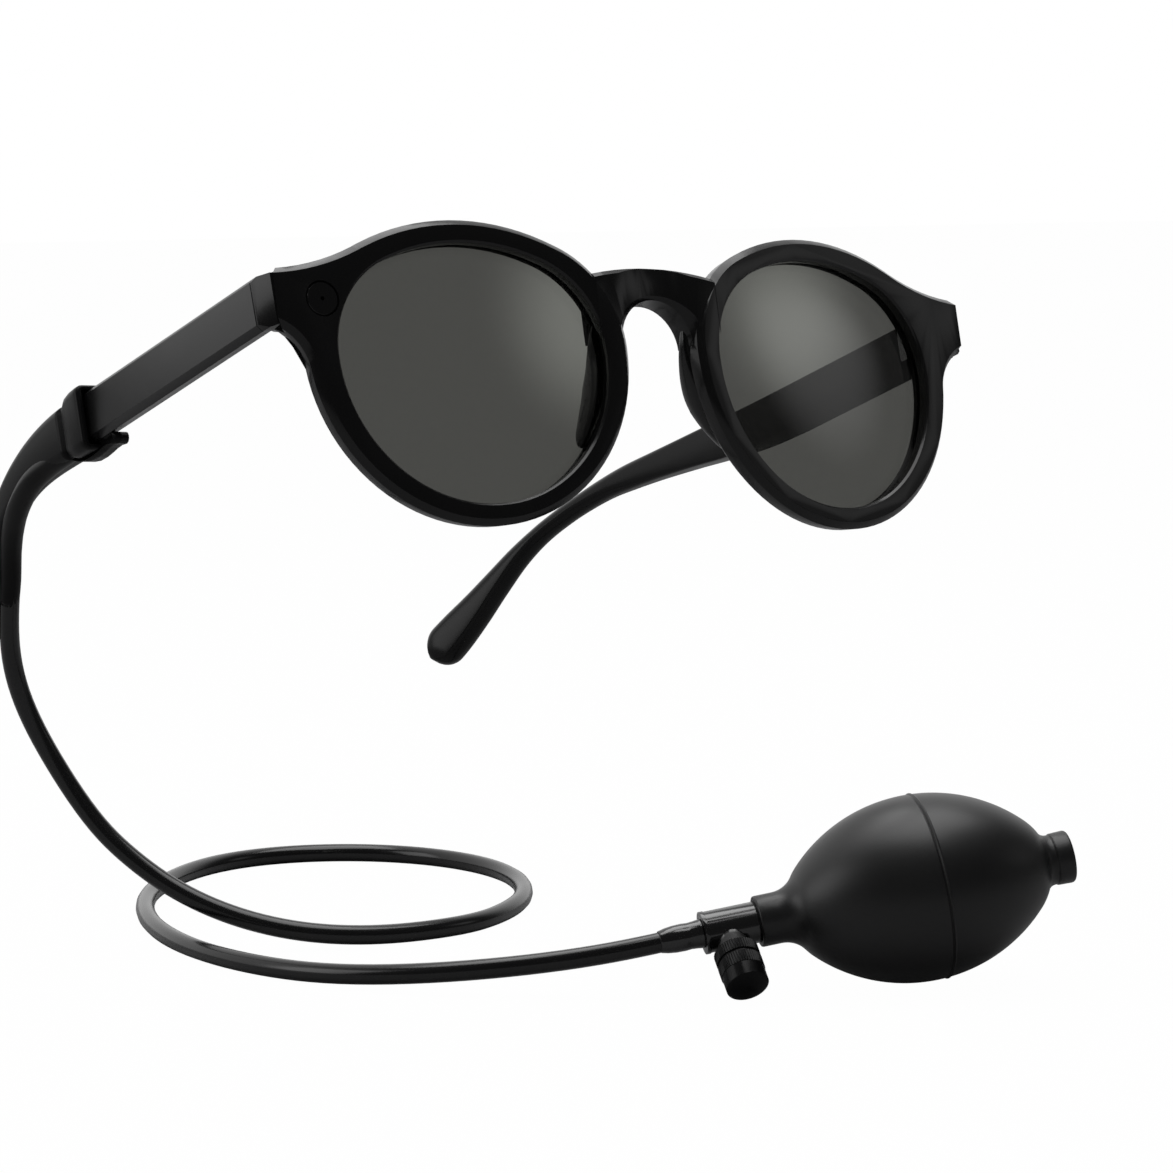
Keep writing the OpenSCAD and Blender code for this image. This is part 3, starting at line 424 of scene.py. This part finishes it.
# Stamped steel hinge leaves, two to a side, are set in the front and the temples and joined by a screw.
# Steel tubes lead the water from the right temple to a brass jet under the cap in the rim.
steel = plastic("steel", (0.5, 0.5, 0.52), 0.3, 0.12, 1250.0, 0.03, metal=1.0)
brass = plastic("brass", (0.72, 0.52, 0.24), 0.28, 0.12, 1250.0, 0.03, metal=1.0)
for name in ("hinge_leaf_front_right", "hinge_leaf_front_left", "hinge_leaf_temple_right",
             "hinge_leaf_temple_left", "hinge_screw_right", "hinge_screw_left", "water_elbow", "water_tube"):
    paint(nodes[name], steel)
paint(nodes["nozzle_jet"], brass)

# The short hollow temple that the boot is pushed on, and the full one, both moulded in black plastic. The
# full one narrows to a waist and bends behind the ear to a thick round-ended paddle, and a corner of its
# root is cut out for the hinge's barrels.
temple_black = plastic("temple_black", (0.005, 0.005, 0.0052), 0.3, 0.1, 2000.0, 0.025)
paint(softened("temple_right", EDGE_WIDTH), temple_black)
ARM_X, ARM_T, SEAM_Y, SPLAY = 72.5, 4.2, 7.0, 0.8
ROOT_Y, ROOT_Z, ROOT_H = 7.15, 11.55, 8.7
TEMPLE_ROWS = np.array([  # distance behind the joint, height of the middle, height across, thickness
    [42, 11.55, 8.7, 4.2], [52, 11.83, 8.31, 4.15], [62, 12.5, 7.4, 4.1], [72, 13.26, 6.3, 4.0],
    [82, 13.81, 5.4, 3.95], [90, 13.99, 4.9, 3.9], [96, 13.75, 4.3, 3.9], [102, 12.95, 3.95, 3.9],
    [108, 11.7, 3.8, 3.9], [114, 9.85, 3.85, 3.95], [120, 7.05, 4.5, 4.0], [126, 3.2, 5.7, 4.1],
    [131, -0.3, 7.0, 4.2], [135, -3.0, 8.0, 4.3], [138, -5.0, 8.4, 4.3], [141.6, -7.3, 8.4, 4.3]])
BEND_FROM, BEND_RUN, BEND_IN, BEND_POWER = 62, 80.5, 17.5, 2.2
CORNER_ROOT, CORNER_GAIN, CORNER_FROM, CORNER_RUN = 0.55, 1.3, 60, 50
CROWN, CROWN_FROM, CROWN_RUN = 0.24, 66, 50
UNDERCUT, UNDERCUT_FROM, UNDERCUT_RUN = 1.1, 34, 30
NOTCH_Y, NOTCH_X, TIP_ROUND, ROOT_ROUND = 10.45, 69.05, 4.3, 0.2


def on_arm(points, side):
    """From a temple's own straight frame to the world: splay about the seam, mirror, then lean."""
    p = (points - [ARM_X, SEAM_Y, 0]) @ turned("Z", SPLAY).T + [ARM_X, SEAM_Y, 0]
    p[..., 0] *= side
    return p @ GLASSES.T


def rounded(width, height, radius, per_corner=6):
    """Rings of a box with round corners, anticlockwise from the right: corner centre + radius (cos, sin)."""
    t = np.linspace(0, math.pi / 2, per_corner)
    a = np.concatenate([t, t + math.pi / 2, t + math.pi, t + 3 * math.pi / 2])
    sx = np.repeat([1, -1, -1, 1], per_corner)
    sz = np.repeat([1, 1, -1, -1], per_corner)
    w, h, e = (np.atleast_1d(np.asarray(v, float))[:, None] for v in (width, height, radius))
    x = sx * (w / 2 - e) + e * np.cos(a)
    z = sz * (h / 2 - e) + e * np.sin(a)
    return x, z


def ease(t):
    """0 to 1 with level ends: u u (3 - 2 u)."""
    u = np.clip(t, 0, 1)
    return u * u * (3 - 2 * u)


def carried_frames(line, up):
    """Side = heading x up, and up again square to both."""
    d = np.gradient(line, axis=0)
    d /= np.linalg.norm(d, axis=1)[:, None]
    side = np.cross(d, up)
    side /= np.linalg.norm(side, axis=1)[:, None]
    return side, np.cross(side, d)


def temple_grid():
    """Round-cornered boxes square to the temple's line; near the tip they shrink as sqrt(1 - s^2). The
    underside of the straight part rises inwards by the undercut (1/2 - x/w)(1/2 - z/h), the bent part is
    crowned, x (1 + crown (1 - (2z/h)^2)), and the bend goes inwards as a power of the distance."""
    straight = np.array([ROOT_Y, 7.2, 7.35, 8.5, 10.44, 10.46, 14, 20, 30, 40, 48])
    root = np.column_stack([straight - ROOT_Y, np.tile([ROOT_Z, ROOT_H, ARM_T], (len(straight), 1))])
    y, z, high, thick = np.vstack([root, smooth_through(TEMPLE_ROWS, 10)[1:]]).T
    bent = BEND_IN * np.maximum(0, (y - BEND_FROM) / BEND_RUN) ** BEND_POWER
    line = np.stack([ARM_X - ARM_T / 2 - bent, ROOT_Y + y, z], axis=1)
    to_go = np.concatenate([np.cumsum(np.linalg.norm(np.diff(line, axis=0), axis=1)[::-1])[::-1], [0]])
    shut = np.sqrt(np.maximum(1 - np.maximum(0, 1 - to_go / TIP_ROUND) ** 2, 0.02))
    start = np.minimum(1, 0.94 + 0.06 * np.sqrt(y / ROOT_ROUND))  # the root's end has a rounded edge
    corner = CORNER_ROOT + CORNER_GAIN * ease((y - CORNER_FROM) / CORNER_RUN)
    thick = thick * start * (0.25 + 0.75 * np.sqrt(shut))
    high = high * shut * (1 - (1 - start) / 2)
    x, up = rounded(thick, high, np.minimum(corner, np.minimum(thick, high) * 0.47), 8)
    x = x * (1 + CROWN * ease((y - CROWN_FROM) / CROWN_RUN)[:, None] * (1 - (2 * up / high[:, None]) ** 2))
    lift = UNDERCUT * (1 - ease((y - UNDERCUT_FROM) / UNDERCUT_RUN))
    up = up + lift[:, None] * (0.5 - x / thick[:, None]) * (0.5 - up / high[:, None])
    side, rise = carried_frames(line, np.array([0, 0, 1.0]))
    grid = line[:, None] + x[..., None] * side[:, None] + up[..., None] * rise[:, None]
    cut = (grid[..., 1] < NOTCH_Y) & (x < 0)
    grid[..., 0] = np.where(cut, np.maximum(grid[..., 0], NOTCH_X), grid[..., 0])
    return on_arm(grid, 1)


tip_black = plastic("tip_black", (0.003, 0.003, 0.0031), 0.22, 0.08, 1600.0, 0.012, 0.2)
temple = skin("temple_left_skin", [temple_grid()], tip_black)
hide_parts("temple_left")
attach(temple, "left_temple")

# The hose boot is one soft black rubber moulding, pushed on the end of the short temple: a collar round the
# temple, a hook behind the ear, a lug that clips under the temple, and a sleeve that the hose comes out of.
MOUTH_Y, BOTTOM_Z, COLLAR_L, COLLAR_Z = SEAM_Y + 55.0, 7.2, 7.0, 11.45
HOOK_L, HOOK_Z, HOOK_CORNER, HOOK_SHUT = 58.0, 11.5, 1.7, (0.93, 0.07)
HOOK_DROP, DROP_POWER, HOOK_IN, IN_POWER = 21.5, 2.9, 8.0, 2.2
HOOK_HIGH, HIGH_RUN, HOOK_THICK, THICK_RUN = (9.4, 6.0), 0.6, (5.8, 4.2), 0.8
COLLAR_ROWS = np.array([  # distance behind the mouth, shift across, width, height, corner radius
    [3.7, 0, 4.4, 8.8, 0.3], [3.6, 0, 5.2, 9.5, 0.4], [0.25, 0, 5.3, 9.6, 0.4],
    [0.05, 0.05, 5.6, 9.8, 0.5], [0, 0.2, 6.1, 10.3, 0.9], [0.08, 0.35, 6.8, 11.0, 1.3],
    [0.35, 0.4, 7.0, 11.25, 1.5], [1.2, 0.42, 7.1, 11.3, 1.6], [3.5, 0.35, 6.95, 11.2, 1.6],
    [5.4, 0.2, 6.6, 11.0, 1.7], [6.3, 0.1, 6.2, 10.6, 1.7], [6.9, 0, 6.0, 10.1, 1.7],
    [7.5, 0, 5.8, 9.7, 1.7]])
LUG_ROWS = np.array([  # distance behind the mouth, height over the temple's underside
    [-3.4, 0.35], [-4.0, 0.3], [-4.5, 0.0], [-4.7, -0.5], [-4.65, -1.05], [-4.3, -1.5], [-3.8, -1.7],
    [-3.1, -1.6], [-2.2, -1.45], [-0.6, -1.5], [1.0, -1.7], [3.0, -1.85], [5.4, -1.75], [7.4, -1.3],
    [9.2, -0.5], [11, 1.2], [11, 2.8], [-0.1, 2.8], [-0.1, 0.15], [-1.8, 0.15]])
LUG_STEP, LUG_EDGE, LUG_FROM, LUG_TO = 0.6, 0.55, -0.1, 3.1
SLEEVE_MM = [
    [-71, 64, -11.2], [-71.1, 69.5, -13.9], [-71.4, 77, -17.0], [-71.5, 83, -20.2], [-70.4, 89.5, -24.8],
    [-68.8, 94.5, -29], [-67.1, 98.5, -33.5], [-65.55, 101.5, -38.5], [-64.7, 103.7, -43]]
SLEEVE_R, SLEEVE_SWELL = 1.78, 0.3


def boot_rows():
    """Round-cornered boxes from the floor of the mouth out to the lip, back along the collar and down its
    shoulder, then square to the hook's line, which falls and turns inwards as powers of t. The hook shuts as
    sqrt(1 - s^2)."""
    behind, across, width, height, radius = COLLAR_ROWS.T
    x, z = rounded(width, height, radius)
    collar = np.stack([ARM_X - ARM_T / 2 + across[:, None] + x, MOUTH_Y + behind[:, None] + 0 * x,
                       COLLAR_Z + z], axis=-1)
    t = np.linspace(0, 1, 60)
    line = np.stack([ARM_X - ARM_T / 2 - HOOK_IN * t**IN_POWER,
                     MOUTH_Y + COLLAR_L - 1 + HOOK_L * (t - 0.03 * t**3),
                     HOOK_Z - HOOK_DROP * t**DROP_POWER], axis=1)
    close = np.sqrt(np.maximum(0.002, 1 - np.maximum(0, (t - HOOK_SHUT[0]) / HOOK_SHUT[1]) ** 2))
    high = (HOOK_HIGH[0] + (HOOK_HIGH[1] - HOOK_HIGH[0]) * ease(t / HIGH_RUN)) * close
    thick = (HOOK_THICK[0] + (HOOK_THICK[1] - HOOK_THICK[0]) * ease(t / THICK_RUN)) * close
    side, up = carried_frames(line, np.array([0, 0, 1.0]))
    x, z = rounded(thick, high, np.minimum(HOOK_CORNER, thick / 3) * close)
    hook = line[:, None] - x[..., None] * side[:, None] + z[..., None] * up[:, None]
    return np.concatenate([collar, hook[3:]])


def tube(line, radius, sides):
    """A round of so many sides at each point of the line, square to its heading, with a carried up vector."""
    side, up = carried_frames(line, np.array([0, -0.4, 1.0]))
    t = np.linspace(0, 2 * math.pi, sides, endpoint=False)
    ring = np.cos(t)[None, :, None] * side[:, None] + np.sin(t)[None, :, None] * up[:, None]
    return line[:, None] + radius[:, None, None] * ring


def plate(outline, x0, x1, edge):
    """Outline (y, z) carried from x0 to x1, its faces drawn in along a quarter round: edge (1 - sin a)
    across and edge (1 - cos a) inwards."""
    along = np.roll(outline, -2, axis=0) - np.roll(outline, 2, axis=0)
    inward = np.stack([-along[:, 1], along[:, 0]], axis=1)
    inward = inward / np.maximum(np.linalg.norm(along, axis=1, keepdims=True), 1e-6)
    if (inward * (outline.mean(axis=0) - outline)).sum() < 0:
        inward = -inward
    a = np.radians([8, 30, 55, 90])
    x = np.concatenate([x0 + edge * (1 - np.sin(a)), x1 - edge * (1 - np.sin(a[::-1]))])
    draw = edge * (1 - np.cos(np.pi / 2 - np.concatenate([a, a[::-1]])))
    flat = outline + inward * draw[:, None, None]
    return np.concatenate([np.broadcast_to(x[:, None, None], (len(x), len(outline), 1)), flat], axis=-1)


def densified(points, step):
    """The closed outline with its own corners and more points between them, no further apart than step."""
    shut = np.vstack([points, points[:1]])
    run = np.concatenate([[0], np.cumsum(np.linalg.norm(np.diff(shut, axis=0), axis=1))])
    extra = np.arange(0, run[-1], step)
    extra = extra[np.abs(extra[:, None] - run).min(axis=1) > step / 4]
    at = np.sort(np.concatenate([run[:-1], extra]))
    return np.stack([np.interp(at, run, shut[:, 0]), np.interp(at, run, shut[:, 1])], axis=1)


boot_rubber = plastic("boot_rubber", (0.0028, 0.0028, 0.003), 0.34, 0.1, 2500.0, 0.06, 0.12)
lug = densified(LUG_ROWS + [MOUTH_Y, BOTTOM_Z], LUG_STEP)
sleeve_line = smooth_through(SLEEVE_MM, 6)
rows = len(sleeve_line)
sleeve_radius = SLEEVE_R + SLEEVE_SWELL * ease(np.linspace(-0.3, 3, rows)) * np.linspace(1, 0, rows) ** 0.7
boot = skin("boot_skin", [
    on_arm(boot_rows(), -1),
    on_arm(plate(lug, ARM_X - ARM_T + LUG_FROM, ARM_X - ARM_T + LUG_TO, LUG_EDGE), -1),
    tube(sleeve_line, sleeve_radius, 24),
], boot_rubber)
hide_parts("hose_boot")
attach(boot, "right_temple")

# A hollow bulb of satin black rubber, blown in a mould of two halves that left the line round its middle. It
# is squeezed to pump the water, lies turned on the ground, and its neck is pushed over the valve.
BULB_R, BULB_A, END_R, WALL = 16.0, 23.3, 11.0, 1.8
BODY_S, SEAM_S, NECK_R, NECK_S, NECK_FILLET = 1.8, 3.4, 4.4, -26.9, 5.0
TAIL_R, TAIL_S, TAIL_FILLET, TAIL_BORE, NECK_BORE = 4.5, 28.8, 2.0, 2.7, 3.0
RIDGE_H, RIDGE_W, GROOVE_D, GROOVE_W, GROOVE_BESIDE, SEAM_NEAR = 0.2, 0.14, 0.16, 0.13, 0.34, 1.6
PUMP = turned("Z", -26) @ turned("Y", -10)  # how the bulb and the valve lie on the ground
PUMP_AT = np.array([44, -13, -89.2])


def arc(centre, radius, start, end, count):
    """Points on a circle from one angle to another, in degrees."""
    t = np.radians(np.linspace(start, end, count))
    return np.stack([centre[0] + radius * np.cos(t), centre[1] + radius * np.sin(t)], axis=1)


def bulb_outline():
    """Closed profile as (along, radius): neck, hollow fillet, end arc, long arc, end arc, tail, and back
    inside. The moulding line is a ridge and a groove beside it, each exp(-(s / width)^2)."""
    half = BULB_A - END_R
    long_r = (half * half + BULB_R**2 - END_R**2) / (2 * (BULB_R - END_R))
    slope = math.degrees(math.atan2(long_r - BULB_R, half))
    neck_s = BODY_S - half - math.sqrt((END_R + NECK_FILLET) ** 2 - (NECK_R + NECK_FILLET) ** 2)
    neck_turn = math.degrees(math.atan2(NECK_R + NECK_FILLET, BODY_S - half - neck_s))
    seam = math.degrees(math.acos((SEAM_S - BODY_S) / long_r))
    turns = np.concatenate([np.linspace(180 - slope, slope, 110),
                            seam + np.linspace(-SEAM_NEAR, SEAM_NEAR, 41)])
    t = np.radians(np.sort(turns)[::-1])
    tail_r = TAIL_R - 0.2
    tail_s = BODY_S + half + math.sqrt((END_R + TAIL_FILLET) ** 2 - (tail_r + TAIL_FILLET) ** 2)
    tail_turn = math.degrees(math.atan2(tail_r + TAIL_FILLET, tail_s - BODY_S - half))
    outer = np.vstack([
        np.array([[NECK_S, NECK_R - 0.25], [NECK_S + 0.08, NECK_R - 0.08], [NECK_S + 0.3, NECK_R]]),
        arc((neck_s, NECK_R + NECK_FILLET), NECK_FILLET, -90, -neck_turn, 10),
        arc((BODY_S - half, 0), END_R, 180 - neck_turn, 180 - slope, 30)[1:],
        np.stack([BODY_S + long_r * np.cos(t), BULB_R - long_r + long_r * np.sin(t)], axis=1)[1:],
        arc((BODY_S + half, 0), END_R, slope, tail_turn, 30)[1:],
        arc((tail_s, tail_r + TAIL_FILLET), TAIL_FILLET, -180 + tail_turn, -90, 8)[1:],
        np.array([[tail_s + 0.2, tail_r], [tail_s + 0.28, tail_r + 0.08], [tail_s + 0.4, TAIL_R - 0.05],
                  [tail_s + 0.6, TAIL_R - 0.02], [TAIL_S - 0.5, TAIL_R + 0.05],
                  [TAIL_S - 0.22, TAIL_R - 0.02], [TAIL_S - 0.06, TAIL_R - 0.16], [TAIL_S, TAIL_R - 0.4],
                  [TAIL_S, TAIL_BORE]])])
    along = outer[:, 0]
    outer[:, 1] += (RIDGE_H * np.exp(-(((along - SEAM_S) / RIDGE_W) ** 2))
                    - GROOVE_D * np.exp(-(((along - SEAM_S + GROOVE_BESIDE) / GROOVE_W) ** 2)))
    inner_r = END_R - WALL
    tail_in = math.degrees(math.asin(TAIL_BORE / inner_r))
    neck_in = math.degrees(math.asin(NECK_BORE / inner_r))
    return np.vstack([
        outer,
        arc((BODY_S + half, 0), inner_r, tail_in, slope, 12),
        arc((BODY_S, BULB_R - long_r), long_r - WALL, slope, 180 - slope, 24)[1:],
        arc((BODY_S - half, 0), inner_r, 180 - slope, 180 - neck_in, 12)[1:],
        np.array([[NECK_S, NECK_BORE]])])


def revolved(outline, count):
    """The outline (along, radius) turned about the local X axis: (s, r cos t, r sin t)."""
    t = np.linspace(0, 2 * math.pi, count, endpoint=False)
    s, r = outline[:, 0, None], outline[:, 1, None]
    return np.stack([s + 0 * t, r * np.cos(t), r * np.sin(t)], axis=-1)


bulb_rubber = plastic("bulb_rubber", (0.0042, 0.0042, 0.0044), 0.4, 0.1, 2500.0, 0.1, 0.45)
bulb = skin("bulb_skin", [revolved(bulb_outline(), 160) @ PUMP.T + PUMP_AT], bulb_rubber, ring=True)
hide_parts("bulb")
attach(bulb, "right_temple")

# The valve is a glossy moulded cylinder beside the bulb, with the hose's ferrule in one end, a plug with the
# air inlet at the bulb's far end, and a knurled knob whose brass stem screws into a boss. A steel ball
# checks each flow.
FERRULE_EDGE, VALVE_EDGE, KNOB_EDGE = 0.0001, 0.00015, 0.00006
BARREL_R, MATT_FROM, MATT_FULL, MATT_ROUGH = 0.00355, 0.00015, 0.0005, 0.6
gloss_black = plastic("gloss_black", (0.004, 0.004, 0.0042), 0.16, 0.08, 1700.0, 0.02, 0.75)
valve_tree = gloss_black.node_tree
valve_at = valve_tree.nodes.new("ShaderNodeTexCoord").outputs["Object"]
arm = node(valve_tree, "ShaderNodeVectorMath", {0: valve_at, 1: tuple(PUMP_AT / 1000)}, operation="SUBTRACT")
across = node(valve_tree, "ShaderNodeVectorMath", {0: arm.outputs[0], 1: tuple(PUMP[:, 0])},
              operation="CROSS_PRODUCT")
reach = node(valve_tree, "ShaderNodeVectorMath", {0: across.outputs[0]}, operation="LENGTH")
matt = node(valve_tree, "ShaderNodeMapRange", {  # the boss, further from the axis than the barrel, is matt
    "Value": reach.outputs["Value"], "From Min": BARREL_R + MATT_FROM, "From Max": BARREL_R + MATT_FULL})
finish = node(valve_tree, "ShaderNodeMix", {
    "Factor": matt.outputs["Result"], "A": valve_tree.nodes["cover"].outputs["Roughness"], "B": MATT_ROUGH})
valve_tree.links.new(finish.outputs["Result"], valve_tree.nodes["Principled BSDF"].inputs["Roughness"])
knob_black = plastic("knob_black", (0.0025, 0.0025, 0.0027), 0.3, 0.1, 2500.0, 0.05, 0.12)
paint(softened("hose_ferrule", FERRULE_EDGE), gloss_black)
paint(softened("valve_body", VALVE_EDGE), gloss_black)
paint(nodes["inlet_plug"], gloss_black)
paint(softened("release_knob", KNOB_EDGE), knob_black)
paint(nodes["valve_stem"], brass)
paint(nodes["outlet_ball"], steel)
paint(nodes["inlet_ball"], steel)
